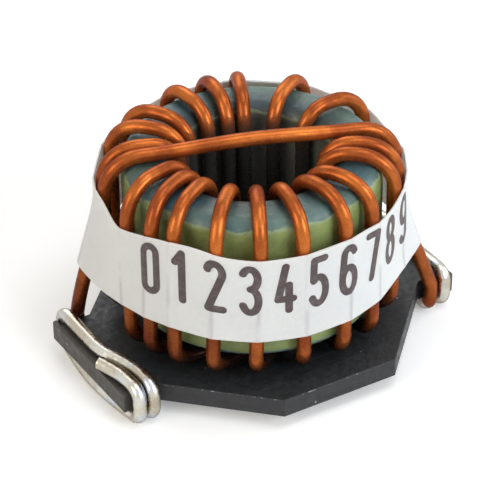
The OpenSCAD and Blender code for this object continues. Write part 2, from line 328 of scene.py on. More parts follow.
@dataclass(frozen=True)
class EnamelledCopper:
    """Orange-brown enamel over drawn copper, with painted shade at its feet, under the coil, below the band
    towards -X and deep in the hole.
    """

    bright: Point = (0.54, 0.150, 0.032)
    deep: Point = (0.29, 0.066, 0.018)
    # Painted shade: deep brown for the wires below the band, darker towards -X
    band_shade: Point = (0.085, 0.022, 0.010)
    # Painted shade: near black for the wire's feet and its ways beneath the core
    low_shade: Point = (0.018, 0.012, 0.010)
    # Painted shade: grey for the wires deep in the hole
    painted_shade: Point = (0.085, 0.082, 0.076)
    rim: Point = (0.24, 0.08, 0.04)
    rough: Span = (0.21, 0.34)
    patches: Grain = Grain(320.0, 3.0, 0.55, 0.36, 0.68)
    fine: Grain = Grain(1900.0, 3.0, 0.6)
    lumps: Grain = Grain(420.0, 2.0)
    depth: float = 0.07
    # Heights, distances and shares of the painted shade at the feet and beneath the core
    foot_z: Span = (3.7, 5.4)
    under_z: Span = (4.6, 5.6)
    under_r: Span = (10.1, 11.0)
    foot_share: float = 0.95
    under_share: float = 0.98
    coil_r: Span = (12.0, 12.7)
    # Where the painted shade below the band lies and how strong it is
    dim_x: Span = (-12.5, -3.5)
    dim_share: Span = (0.64, 0.30)
    band_z: Span = (7.8, 9.5)
    # Heights of the painted shade in the hole
    hole_z: Span = (14.4, 17.5)

    def make(self) -> bpy.types.Material:
        """Builds the material.

        Returns:
            The material.
        """
        s = Shader("enamelled_copper")
        clean = s.blend(s.grain(self.patches), self.deep, self.bright)
        # Painted shade at the feet and beneath the core, kept inside the coil's reach
        feet = s.fade(s.z, self.foot_z, self.foot_share)
        beneath = s.times(s.fade(s.z, self.under_z), s.fade(s.r, self.under_r, self.under_share))
        low = s.times(s.calc("MAXIMUM", feet, beneath), s.fade(s.r, self.coil_r))
        # Painted shade below the band, stronger towards -X
        below_band_shade = s.times(s.fade(s.x, self.dim_x, *self.dim_share), s.fade(s.z, self.band_z))
        colour = s.blend(low, s.blend(below_band_shade, clean, self.band_shade), self.low_shade)
        # Painted shade on the wires deep in the hole
        s.feed("Base Color", s.blend(s.sheltered(self.hole_z), colour, self.painted_shade))
        s.feed("Roughness", s.grain(self.fine, *self.rough))
        s.put(Metallic=0.5, Specular_IOR_Level=0.3, Specular_Tint=(*self.rim, 1.0))
        s.bump(s.noise(self.lumps), self.depth)
        return s.material


@dataclass(frozen=True)
class TinnedWire:
    """Dipped solder over bare copper, bright and a little uneven."""

    bright: Point = (0.64, 0.625, 0.57)
    warm: Point = (0.46, 0.41, 0.325)
    cool: Point = (0.50, 0.54, 0.62)
    rim: Point = (0.55, 0.52, 0.47)
    rough: Span = (0.20, 0.38)
    patches: Grain = Grain(430.0, 4.0, 0.55, 0.35, 0.7)
    tints: Grain = Grain(610.0, 2.0, 0.5, 0.52, 0.66)
    fine: Grain = Grain(2600.0, 3.0, 0.6, 0.25, 0.75)
    lumps: Grain = Grain(700.0, 2.0)
    tint_stretch: Point = (1.0, 1.0, 1.6)
    tint_turn: float = 40.0
    fine_share: float = 0.15
    depth: float = 0.09

    def make(self) -> bpy.types.Material:
        """Builds the material.

        Returns:
            The material.
        """
        s = Shader("tinned_wire")
        solder = s.blend(s.grain(self.patches), self.warm, self.bright)
        tints = s.grain(self.tints, coords=s.stretched(self.tint_stretch, self.tint_turn))
        s.feed("Base Color", s.blend(tints, solder, self.cool))
        s.feed("Roughness", s.grain(self.fine, *self.rough))
        s.put(Metallic=1.0, Specular_Tint=(*self.rim, 1.0))
        s.bump(s.calc("ADD", s.noise(self.lumps), s.times(s.noise(self.fine), self.fine_share)), self.depth)
        return s.material


@dataclass(frozen=True)
class CoatedCore:
    """Two-tone coating: blue-green on the faces, olive green round the walls, with painted shade near the
    hole, in it and along the bottom.
    """

    face: Point = (0.084, 0.150, 0.142)
    face_pale: Point = (0.140, 0.215, 0.182)
    face_blue: Point = (0.060, 0.135, 0.190)
    wall: Point = (0.300, 0.380, 0.130)
    wall_deep: Point = (0.215, 0.265, 0.095)
    lap: Point = (0.33, 0.42, 0.24)
    # Painted shade: the faces darken to this towards the hole
    inner: Point = (0.030, 0.044, 0.044)
    # Painted shade: the wall of the hole darkens to this
    hole_wall_shade: Point = (0.085, 0.105, 0.062)
    # Painted shade: dark grey-green along the bottom and deep in the hole
    painted_shade: Point = (0.185, 0.200, 0.180)
    rough: Span = (0.36, 0.55)
    waves: Grain = Grain(330.0, 4.0, 0.65)
    face_patches: Grain = Grain(620.0, 5.0, 0.65, 0.35, 0.72)
    wall_patches: Grain = Grain(620.0, 5.0, 0.65, 0.3, 0.7)
    blue_patches: Grain = Grain(190.0, 2.0, 0.5, 0.46, 0.66)
    fine: Grain = Grain(2400.0, 4.0, 0.6)
    lumps: Grain = Grain(900.0)
    depth: float = 0.08
    bottom: float = 4.39
    top: float = 16.89
    band: float = 0.75
    wave: float = 1.6
    lap_edge: Span = (-0.16, 0.22)
    lap_share: float = 2.6
    blue_share: float = 0.8
    # Strength of the painted shade on the faces at the hole
    face_shade_share: float = 0.85
    under_share: float = 0.85
    fine_share: float = 0.4
    # Heights over the bottom over which the painted shade fades
    under_z: Span = (0.1, 0.7)
    # Distances over which the painted shade fades on the faces and on the hole's wall
    face_r: Span = (6.3, 9.0)
    wall_r: Span = (6.6, 7.6)
    # Heights of the painted shade in the hole
    hole_z: Span = (14.2, 17.3)

    def make(self) -> bpy.types.Material:
        """Builds the material.

        Returns:
            The material.
        """
        s = Shader("coated_core")
        reach = (self.top - self.bottom) / 2 - self.band
        wavy = s.times(s.calc("SUBTRACT", s.noise(self.waves), 0.5), self.wave * MM)
        height = s.calc("ADD", s.off(s.z, (self.top + self.bottom) / 2), wavy)
        on_face = s.fade(height, (reach + self.lap_edge[0], reach + self.lap_edge[1]), 0.0, 1.0)
        face = s.blend(s.grain(self.face_patches), self.face, self.face_pale)
        face = s.blend(s.grain(self.blue_patches, 0.0, self.blue_share), face, self.face_blue)
        # Painted shade on the faces near the hole
        face = s.blend(s.fade(s.r, self.face_r, self.face_shade_share), face, self.inner)
        wall = s.blend(s.grain(self.wall_patches), self.wall_deep, self.wall)
        # Painted shade on the hole's wall
        wall = s.blend(s.fade(s.r, self.wall_r), wall, self.hole_wall_shade)
        lap = s.times(s.times(on_face, s.calc("SUBTRACT", 1.0, on_face)), self.lap_share)
        coat = s.blend(lap, s.blend(on_face, wall, face), self.lap)
        # Painted shade along the bottom and deep in the hole
        under_z = (self.bottom + self.under_z[0], self.bottom + self.under_z[1])
        under = s.fade(s.z, under_z, self.under_share)
        s.feed("Base Color", s.blend(s.calc("MAXIMUM", under, s.sheltered(self.hole_z)), coat, self.painted_shade))
        s.feed("Roughness", s.grain(self.fine, *self.rough))
        s.put(Metallic=0.0, Specular_IOR_Level=0.35, Coat_Weight=0.12, Coat_Roughness=0.3)
        s.bump(s.calc("ADD", s.noise(self.lumps), s.times(s.noise(self.fine), self.fine_share)), self.depth)
        return s.material


@dataclass(frozen=True)
class BlackLaminate:
    """Near-black sheet, with pale specks on its faces, a greyer sawn edge and a chipped upper arris."""

    face: Point = (0.0125, 0.0135, 0.0155)
    face_pale: Point = (0.018, 0.020, 0.023)
    scratch: Point = (0.060, 0.064, 0.072)
    edge: Point = (0.023, 0.023, 0.027)
    speck: Point = (0.42, 0.43, 0.42)
    worn: Point = (0.26, 0.26, 0.27)
    tab: Point = (0.062, 0.052, 0.045)
    rough: Span = (0.42, 0.62)
    fibres: Grain = Grain(900.0, 4.0, 0.6)
    mottle: Grain = Grain(700.0, 4.0, 0.65, 0.35, 0.8)
    streaks: Grain = Grain(800.0, 2.0, 0.5, 0.66, 0.72)
    chips: Grain = Grain(1500.0, 4.0, 0.7, 0.52, 0.64)
    rare: Grain = Grain(1500.0, 1.0, 0.5, 0.62, 0.66)
    polish: Grain = Grain(1800.0, 4.0)
    weave: Grain = Grain(3000.0, 4.0, 0.65)
    fibre_stretch: Point = (0.25, 0.25, 4.0)
    streak_stretch: Point = (0.12, 2.6, 1.0)
    streak_turn: float = 24.0
    streak_share: float = 0.6
    tab_share: float = 0.7
    depth: float = 0.05
    specks_per_m: float = 1150.0
    low: float = 1.17
    high: float = 2.77
    edge_drop: Span = (0.05, 0.03)
    arris_drop: float = 0.06
    arris_reach: Span = (0.02, 0.05)
    speck_size: Span = (0.05, 0.12)
    tab_x: Span = (13.4, 14.6)

    def make(self) -> bpy.types.Material:
        """Builds the material.

        Returns:
            The material.
        """
        s = Shader("black_laminate")
        half = (self.high - self.low) / 2
        from_middle = s.off(s.z, (self.high + self.low) / 2)
        on_edge = s.fade(from_middle, (half - self.edge_drop[0], half - self.edge_drop[1]))
        fibres = s.grain(self.fibres, coords=s.stretched(self.fibre_stretch))
        sawn = s.blend(fibres, self.face, self.edge)
        mottled = s.blend(s.grain(self.mottle), self.face, self.face_pale)
        drawn = s.stretched(self.streak_stretch, self.streak_turn)
        streaks = s.grain(self.streaks, 0.0, self.streak_share, drawn)
        body = s.blend(on_edge, s.blend(streaks, mottled, self.scratch), sawn)
        arris = s.fade(s.off(s.z, self.high - self.arris_drop), self.arris_reach)
        body = s.blend(s.times(arris, s.grain(self.chips)), body, self.worn)
        body = s.blend(s.fade(s.off(s.x, 0.0), self.tab_x, 0.0, self.tab_share), body, self.tab)
        cells = s.add("ShaderNodeTexVoronoi", {"Vector": s.coords, "Scale": self.specks_per_m}, "Distance")
        dots = s.times(s.span(cells, *self.speck_size, 1.0, 0.0), s.grain(self.rare))
        s.feed("Base Color", s.blend(dots, body, self.speck))
        s.feed("Roughness", s.grain(self.polish, *self.rough))
        s.put(Metallic=0.0, Specular_IOR_Level=0.45)
        s.bump(s.noise(self.weave), self.depth)
        return s.material


@dataclass(frozen=True)
class LabelPaper:
    """White paper with a faint fibre, with grey lines where a wire presses against it: painted shade of the
    creases and of the dark wire behind the thin paper.
    """

    white: Point = (0.87, 0.87, 0.85)
    shade: Point = (0.825, 0.825, 0.805)
    # Painted shade: grey-violet of the creases and of the wires seen through the paper
    pressed: Point = (0.50, 0.45, 0.50)
    rough: Span = (0.50, 0.62)
    fibre: Grain = Grain(2600.0, 5.0, 0.7)
    cloud: Grain = Grain(240.0)
    smudge: Grain = Grain(420.0, 3.0, 0.5, 0.36, 0.60)
    depth: float = 0.025
    cloud_range: Span = (0.35, 0.65)
    mark_z: Span = (9.5, 13.5)
    mark_share: float = 0.62
    high_mark_share: float = 0.35

    def make(self) -> bpy.types.Material:
        """Builds the material.

        Returns:
            The material.
        """
        s = Shader("label_paper")
        tone = s.calc("ADD", s.times(s.noise(self.fibre), 0.5), s.times(s.noise(self.cloud), 0.5))
        paper = s.blend(s.span(tone, *self.cloud_range), self.shade, self.white)
        # Painted shade along the wires that press on the paper, weaker higher up
        pressed = s.add("ShaderNodeAttribute", {}, "Fac", attribute_name="pressed")
        marks = s.times(pressed, s.grain(self.smudge, 0.0, self.mark_share))
        marks = s.times(marks, s.fade(s.z, self.mark_z, 1.0, self.high_mark_share))
        s.feed("Base Color", s.blend(marks, paper, self.pressed))
        s.feed("Roughness", s.grain(self.fibre, *self.rough))
        s.put(Metallic=0.0, Specular_IOR_Level=0.35, Subsurface_Weight=0.6, Subsurface_Scale=0.0006,
              Subsurface_Radius=(1.0, 0.92, 0.84))
        s.bump(s.noise(self.fibre), self.depth)
        return s.material


@dataclass(frozen=True)
class PrintInk:
    """Dark brown-grey transfer print, a little worn."""

    ink: Point = (0.070, 0.050, 0.050)
    worn: Point = (0.150, 0.118, 0.118)
    rough: Span = (0.45, 0.6)
    wear: Grain = Grain(1700.0, 4.0, 0.65, 0.42, 0.78)
    polish: Grain = Grain(1700.0, 4.0, 0.65)

    def make(self) -> bpy.types.Material:
        """Builds the material.

        Returns:
            The material.
        """
        s = Shader("print_ink")
        s.feed("Base Color", s.blend(s.grain(self.wear), self.ink, self.worn))
        s.feed("Roughness", s.grain(self.polish, *self.rough))
        s.put(Metallic=0.0, Specular_IOR_Level=0.4)
        return s.material


# Geometry Nodes for wire
# -----------------------


@dataclass
class WireTree:
    """A node tree that turns a run of points into round wire, which is never thicker than its radius."""

    name: str = "round_wire"
    longest: float = 0.45
    curve_steps: int = 6
    sockets: dict[str, str] = field(default_factory=dict)

    def build(self, material: bpy.types.Material) -> bpy.types.NodeTree:
        """Builds the tree.

        Args:
            material: The finish that the tree sets.

        Returns:
            The tree, whose inputs are Radius, Step, Sides, Swell and Swell Scale.
        """
        tree = bpy.data.node_groups.new(f"{self.name}_{material.name}", "GeometryNodeTree")
        face = tree.interface
        face.new_socket(name="Geometry", in_out="INPUT", socket_type="NodeSocketGeometry")
        for name in ("Radius", "Step", "Sides", "Swell", "Swell Scale"):
            kind = "NodeSocketInt" if name == "Sides" else "NodeSocketFloat"
            self.sockets[name] = face.new_socket(name=name, in_out="INPUT", socket_type=kind).identifier
        face.new_socket(name="Geometry", in_out="OUTPUT", socket_type="NodeSocketGeometry")
        given = tree.nodes.new("NodeGroupInput").outputs

        def add(kind: str, inputs: dict[str | int, object], **settings: str) -> Socket:
            """Adds a node to the tree and gives its first output."""
            return add_node(tree, kind, inputs, **settings)

        curve = add("GeometryNodeMeshToCurve", {"Mesh": given["Geometry"]})
        curve = add("GeometryNodeCurveSplineType", {"Curve": curve}, spline_type="CATMULL_ROM")
        curve = add("GeometryNodeSetSplineResolution", {"Geometry": curve, "Resolution": self.curve_steps})
        curve = add("GeometryNodeResampleCurve", {"Curve": curve, "Length": given["Step"]}, mode="LENGTH")
        ring = add("GeometryNodeCurvePrimitiveCircle",
                   {"Resolution": given["Sides"], "Radius": given["Radius"]}, mode="RADIUS")
        wire = add("GeometryNodeCurveToMesh", {"Curve": curve, "Profile Curve": ring, "Fill Caps": True})
        lumps = add("ShaderNodeTexNoise", {"Vector": add("GeometryNodeInputPosition", {}),
                                           "Scale": given["Swell Scale"], "Detail": 1.0})
        inwards = add("ShaderNodeMath", {0: lumps, 1: 1.0}, operation="SUBTRACT")
        swell = add("ShaderNodeMath", {0: inwards, 1: given["Swell"]}, operation="MULTIPLY")
        push = add("ShaderNodeVectorMath", {0: add("GeometryNodeInputNormal", {}), "Scale": swell},
                   operation="SCALE")
        wire = add("GeometryNodeSetPosition", {"Geometry": wire, "Offset": push})
        wire = add("GeometryNodeSetShadeSmooth", {"Geometry": wire})
        wire = add("GeometryNodeRealizeInstances", {"Geometry": wire})
        wire = add("GeometryNodeSetMaterial", {"Geometry": wire, "Material": material})
        tree.links.new(wire, tree.nodes.new("NodeGroupOutput").inputs["Geometry"])
        return tree

    def run(self, name: str, path: list[Points], material: bpy.types.Material,
            **values: float | int) -> bpy.types.Object:
        """Makes a wire along a path, as a plain mesh.

        Args:
            name: The piece's name.
            path: Points of the centre line in millimetres.
            material: The wire's finish.
            **values: The tree's inputs, named with underscores for spaces.

        Returns:
            The wire.
        """
        points = np.array(filled(path, self.longest)) * MM
        line = bpy.data.meshes.new(name + "_guide")
        line.from_pydata(points.tolist(), [(i, i + 1) for i in range(len(points) - 1)], [])
        guide = linked(name + "_guide", line)
        line.materials.append(material)
        modifier = guide.modifiers.new("wire", "NODES")
        modifier.node_group = self.build(material)
        for key, value in values.items():
            modifier[self.sockets[key.replace("_", " ")]] = value
        shown = guide.evaluated_get(bpy.context.evaluated_depsgraph_get())
        mesh = bpy.data.meshes.new_from_object(shown)
        mesh.name = name
        bpy.data.objects.remove(guide)
        return linked(name, mesh)


# Pieces
# ------


@dataclass
class RingCore:
    """The coated ring that the wire is wound on."""

    outer_d: float = 20.2
    hole_d: float = 12.6
    edge_r: float = 1.1
    bottom: float = 4.39
    top: float = 16.89
    shift: float = 0.175

    def point(self, radius: float, angle: float, z: float) -> Points:
        """Point at a radius and an angle in degrees round the ring's own axis."""
        return polar(radius, angle, z) - np.array([self.shift, 0.0, 0.0])

    def dress(self) -> None:
        """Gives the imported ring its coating."""
        link_material(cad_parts["core"], CoatedCore(bottom=self.bottom, top=self.top).make())
        LOG.info("core: outer diameter %.1f mm, coating set", self.outer_d)


@dataclass
class BaseSheet:
    """The eight-sided laminate sheet with a tab at each end of X."""

    low: float = 1.17
    high: float = 2.77
    length: float = 25.15
    tab_w: float = 10.6
    edge_break: float = 0.07
    edge_profile: float = 0.6
    flat_angle: float = 1.0
    weld: float = 0.001

    def build(self) -> bpy.types.Object:
        """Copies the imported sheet, joins its triangles and breaks its sharp edges.

        Returns:
            The sheet.
        """
        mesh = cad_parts["base"].data.copy()
        mesh.name = "base_sheet"
        with editing(mesh) as work:
            bmesh.ops.remove_doubles(work, verts=work.verts, dist=self.weld * MM)
            bmesh.ops.dissolve_limit(work, angle_limit=math.radians(self.flat_angle),
                                     verts=work.verts, edges=work.edges)
            bmesh.ops.recalc_face_normals(work, faces=work.faces)
            bmesh.ops.bevel(work, geom=list(work.edges), offset=self.edge_break * MM, segments=2,
                            profile=self.edge_profile, affect="EDGES", clamp_overlap=True)
        sheet = linked("base_sheet", mesh)
        link_material(sheet, BlackLaminate(low=self.low, high=self.high).make())
        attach(sheet, "root")
        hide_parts("base")
        LOG.info("base: sheet %.1f mm long between its flats", self.length)
        return sheet


@dataclass
class Winding:
    """One length of enamelled wire: two lapped ends, their leads, the wire over the top and the turns."""

    core: RingCore
    base: BaseSheet
    wire_d: float = 1.14
    wire_gap: float = 0.08
    hole_gap: float = 0.21
    turn_rise: float = 0.28
    run_gap: float = 0.2
    run_spring: tuple[float, float, float, float] = (0.5, 0.4, 0.7, 0.0)
    outer_bend_r: float = 2.8
    under_bend_r: float = 1.7
    inner_bend_r: float = 2.2
    cross_bend_r: float = 2.9
    bend_clear: float = 0.03
    cross_rise: float = 0.32
    cross_up: float = 160.8
    cross_down: float = -21.5
    hole_angles: tuple[float, ...] = (
        12, 40, 64, 77.5, 96, 119, 134.5, 151, 176, 189, 204, 223.5, 240.5, 256, 275, 289, 311.5, 324)
    run_angles: tuple[float, ...] = (
        7, 36, 64.5, 79, 95, 118.5, 133, 153.5, 183.5, 197, 207, 224, 241, 258, 277.5, 293, 315.5, 325)
    run_lean: tuple[float, ...] = (0, 0, 0, 0, 0, 0, 0, 0, 0, -2.3, -0.8, -1.9, -2.1, 0.5, 0, 1.7, 0, 0)
    top_pull: float = 0.3
    foot_pull: float = 0.35
    first_pull: Point = (-0.55, -1.9, 0.0)
    first_swing: Point = (-0.65, 0.35, 0.0)
    second_pull: Point = (1.4, -0.25, 0.0)
    lane_margin: float = 0.25
    lead_gap: float = 0.19
    lane_gap: float = 0.05
    lap_drift: float = 0.23
    lap_gap: float = 0.03
    lap_end_gap: float = 0.24
    lap_bend_r: float = 0.9
    under_bow: float = 0.55
    cut_y: float = -1.35
    cut_splay: float = 0.74
    drift_from_y: float = -4.4
    drift_to_y: float = 0.8
    enamel_points: int = 3  # Points of a lap that the enamel still covers
    bend_steps: int = 8
    beneath_steps: int = 6
    cross_steps: int = 16
    lead_steps: int = 14
    over_steps: int = 14
    under_steps: int = 10
    sides: int = 22
    enamel_step: float = 0.21
    enamel_swell: float = 0.01
    enamel_lumps: float = 300.0
    tin_step: float = 0.14
    tin_swell: float = 0.04
    tin_lumps: float = 520.0

    @property
    def wire_r(self) -> float:
        """Radius of the wire."""
        return self.wire_d / 2

    @property
    def hole_r(self) -> float:
        """Distance of the wires in the hole from the core's axis."""
        return self.core.hole_d / 2 - self.hole_gap - self.wire_r

    @property
    def low_z(self) -> float:
        """Height of the wires under the core."""
        return self.core.bottom - self.wire_gap - self.wire_r

    @property
    def high_z(self) -> float:
        """Height of the wires over the core."""
        return self.core.top + self.turn_rise + self.wire_r

    @property
    def lead_top(self) -> float:
        """Height at which the leads leave the core's wall."""
        return self.high_z - max(self.outer_bend_r, self.cross_bend_r)

    @property
    def lanes(self) -> tuple[float, float, float, float]:
        """The laps' lanes, by their distance along X.

        Returns:
            The inner and the outer lane at the lip, then the inner and the outer one at the plain end.
        """
        lip_in = self.base.length / 2 + self.lane_margin
        end_in = lip_in + self.lap_drift
        return lip_in, lip_in + self.wire_d + self.lead_gap, end_in, end_in + self.wire_d + self.lane_gap

    @property
    def lap_y(self) -> float:
        """Distance of the lap bends' centres from the tab's middle."""
        return self.base.tab_w / 2 + self.lap_end_gap + self.wire_r - self.lap_bend_r

    def run_gap_at(self, angle: float) -> float:
        """Gap between the core's wall and the outer run at an angle.

        Args:
            angle: Angle of the run.

        Returns:
            The gap, which grows towards each side by that side's spring.
        """
        c, s = math.cos(math.radians(angle)), math.sin(math.radians(angle))
        towards = (max(0, c) ** 2, max(0, s) ** 2, max(0, -c) ** 2, max(0, -s) ** 2)
        return self.run_gap + sum(a * b for a, b in zip(self.run_spring, towards))

    def run_r(self, angle: float) -> float:
        """Distance of the outer run at an angle from the core's axis."""
        return self.core.outer_d / 2 + self.run_gap_at(angle) + self.wire_r

    def foot_angle(self, i: int) -> float:
        """Angle of the foot of the run that comes before hole i."""
        return self.run_angles[i - 1] + self.run_lean[i - 1] if i else self.cross_down

    def clear_bend(self, face_gap: float, wall_gap: float) -> float:
        """Largest bend of wire that clears the core's rounded edge.

        Args:
            face_gap: Gap between the wire and the core's face.
            wall_gap: Gap between the wire and the core's wall.

        Returns:
            The radius of the bend.
        """
        total = face_gap + wall_gap - self.bend_clear
        square = face_gap ** 2 + wall_gap ** 2 - self.bend_clear ** 2
        return self.core.edge_r + self.wire_r + total + math.sqrt(max(0.0, total * total - square))

    def span_angle(self, r: float, inner: float, outer: float, beneath: bool) -> float:
        """Angle of the wire at a distance from the axis, on its way between the hole and a run.

        Args:
            r: Distance from the core's axis.
            inner: Angle of the wire in the hole.
            outer: Angle of the outer run.
            beneath: Whether the way is beneath the core, where the wire turns in the middle of it.

        Returns:
            The angle in degrees.
        """
        share = (r - self.hole_r) / (self.run_r(outer) - self.hole_r)
        return mix(inner, outer, ease(share) if beneath else share)

    def arc(self, start: float, stop: float) -> list[float]:
        """Angles in radians along a bend, which is given in degrees."""
        return [math.radians(mix(start, stop, share)) for share in shares(self.bend_steps)]

    def bend(self, r: float, z: float, bend_r: float, span: Span,
             inner: float, outer: float, beneath: bool = False) -> list[Points]:
        """A quarter bend at one end of the way between the hole and a run.

        Args:
            r: Distance of the bend's centre from the core's axis.
            z: Height of the bend's centre.
            bend_r: Radius of the bend.
            span: First and last angle of the quarter.
            inner: Angle of the wire in the hole.
            outer: Angle of the outer run.
            beneath: Whether the way is beneath the core.

        Returns:
            Points on the centre line.
        """
        points = []
        for a in self.arc(*span):
            at = r + bend_r * math.cos(a)
            angle = self.span_angle(at, inner, outer, beneath)
            points.append(self.core.point(at, angle, z + bend_r * math.sin(a)))
        return points

    def way_beneath(self, i: int) -> list[Points]:
        """The wire from the foot of the run before a hole angle, beneath the core and up into the hole.

        Args:
            i: Number of the hole angle.

        Returns:
            Points on the centre line.
        """
        foot, hole = self.foot_angle(i), self.hole_angles[i]
        from_r = min(self.under_bend_r, self.clear_bend(self.wire_gap, self.run_gap_at(foot)))
        to_r = min(self.inner_bend_r, self.clear_bend(self.wire_gap, self.hole_gap))
        outer, inner = self.run_r(foot) - from_r, self.hole_r + to_r
        path = self.bend(outer, self.low_z + from_r, from_r, (0, -90), hole, foot, True)
        for share in shares(self.beneath_steps)[1:-1]:
            r = mix(outer, inner, share)
            path.append(self.core.point(r, self.span_angle(r, hole, foot, True), self.low_z))
        return path + self.bend(inner, self.low_z + to_r, to_r, (-90, -180), hole, foot, True)

    def coil(self) -> list[Points]:
        """The turns: beneath the core, up through the hole and over the core to the outer wall.

        Returns:
            Points on the centre line.
        """
        path = []
        for i, (hole, run) in enumerate(zip(self.hole_angles, self.run_angles)):
            inner_r = min(self.inner_bend_r, self.clear_bend(self.turn_rise, self.hole_gap))
            outer_r = min(self.outer_bend_r, self.clear_bend(self.turn_rise, self.run_gap_at(run)))
            path += self.way_beneath(i)
            path += self.bend(self.hole_r + inner_r, self.high_z - inner_r, inner_r, (180, 90), hole, run)
            path += self.bend(self.run_r(run) - outer_r, self.high_z - outer_r, outer_r, (90, 0), hole, run)
        return path

    def crossing(self) -> list[Points]:
        """The wire that comes up at the first terminal and crosses over the hole.

        Returns:
            Points on the centre line.
        """
        ends = (self.cross_up, self.cross_down)
        start, end = (self.core.point(self.run_r(a), a, self.high_z) for a in ends)
        along = (end - start) / np.linalg.norm(end - start)
        r = self.cross_bend_r
        rounds = [(along * r * (1 - math.cos(a)), np.array([0, 0, r * (math.sin(a) - 1)]))
                  for a in self.arc(0, 90)]
        rise = [start + across + down for across, down in rounds]
        fall = [end - across + down for across, down in rounds]
        span = []
        for share in shares(self.cross_steps)[1:-1]:
            lift = np.array([0, 0, self.cross_rise * math.sin(math.pi * share) ** 2])
            span.append(mix(start + along * r, end - along * r, share) + lift)
        return rise + span + fall[::-1]

    def lead(self, terminal: Terminal) -> list[Points]:
        """A lead, from the core's upper edge to the tab's lip end.

        Args:
            terminal: The end of the wire that it leads to.

        Returns:
            Points from the top down, as on the -X side.
        """
        first = terminal is Terminal.FIRST
        pull = np.array(self.first_pull if first else self.second_pull)
        drop = self.lead_top - self.base.high
        at = self.cross_up if first else self.run_angles[-1]
        top = terminal.placed([self.core.point(self.run_r(at), at, self.lead_top)])[0]
        foot = np.array([-self.lanes[0], self.lap_y + self.lap_bend_r, self.base.high])
        swing = np.array(self.first_swing) * first
        a = top + swing - np.array([0, 0, self.top_pull * drop])
        b = foot + pull + np.array([0, 0, self.foot_pull * drop])
        return [top * (1 - s) ** 3 + a * 3 * s * (1 - s) ** 2 + b * 3 * s * s * (1 - s) + foot * s ** 3
                for s in shares(self.lead_steps)]

    def lap_bend(self, x: float, y: float, z: float, start: float, stop: float) -> list[Points]:
        """A quarter bend round an end of the tab.

        Args:
            x: The bend's lane.
            y: Distance of the bend's centre from the tab's middle.
            z: Height of the bend's centre.
            start: First angle of the quarter.
            stop: Last angle of the quarter.

        Returns:
            Points on the centre line.
        """
        r = self.lap_bend_r
        return [np.array([-x, y + r * math.cos(a), z + r * math.sin(a)]) for a in self.arc(start, stop)]

    def laps(self) -> list[Points]:
        """The laps round the tab on the -X side.

        Returns:
            Points from the lead's foot to the cut end.
        """
        lip_in, lip_out, end_in, end_out = self.lanes
        y = self.lap_y
        low = self.wire_r
        high = self.base.high + self.lap_gap + self.wire_r
        up, down = low + self.lap_bend_r, high - self.lap_bend_r
        path = self.lap_bend(lip_in, y, up, 0, -90)
        path += self.lap_bend(end_in, -y, up, -90, -180)
        path += self.lap_bend(end_in, -y, down, 180, 90)
        for share in shares(self.over_steps)[1:-1]:
            at = mix(-y, y, share)
            drift = ease((at - self.drift_from_y) / (self.drift_to_y - self.drift_from_y))
            path.append(np.array([-mix(end_in, lip_out, drift), at, high]))
        path += self.lap_bend(lip_out, y, down, 90, 0)
        path += self.lap_bend(lip_out, y, up, 0, -90)
        for share in shares(self.under_steps)[1:-1]:
            bow = self.under_bow * math.sin(math.pi * share)
            path.append(np.array([-mix(lip_out, end_out, share) - bow, mix(y, -y, share), low]))
        path += self.lap_bend(end_out, -y, up, -90, -180)
        path += self.lap_bend(end_out, -y, down, 180, 90)
        for share in shares(self.under_steps)[1:]:
            path.append(np.array([-end_out - self.cut_splay * share ** 2, mix(-y, self.cut_y, share), high]))
        return path

    def build(self) -> list[bpy.types.Object]:
        """Builds the enamelled length and the two tinned ends.

        Returns:
            The three pieces.
        """
        enamel, tin = EnamelledCopper().make(), TinnedWire().make()
        leads = [terminal.placed(self.lead(terminal)[1:]) for terminal in Terminal]
        laps = self.laps()
        foot, tinned = laps[:self.enamel_points + 1], laps[self.enamel_points:]
        path = foot[::-1] + leads[0][::-1] + self.crossing() + self.coil() + leads[1]
        path += Terminal.SECOND.placed(foot)
        wire = WireTree().run("enamelled_wire", path, enamel, Radius=self.wire_r * MM,
                              Step=self.enamel_step * MM, Sides=self.sides,
                              Swell=self.enamel_swell * MM, Swell_Scale=self.enamel_lumps)
        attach(wire, "root")
        pieces = [wire]
        for terminal in Terminal:
            end = WireTree().run(f"tinned_end_{terminal.value}", terminal.placed(tinned), tin,
                                 Radius=self.wire_r * MM, Step=self.tin_step * MM, Sides=self.sides,
                                 Swell=self.tin_swell * MM, Swell_Scale=self.tin_lumps)
            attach(end, "root")
            pieces.append(end)
        for piece in pieces:
            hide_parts("winding")
            LOG.info("%s: %d faces", piece.name, len(piece.data.polygons))
        return pieces


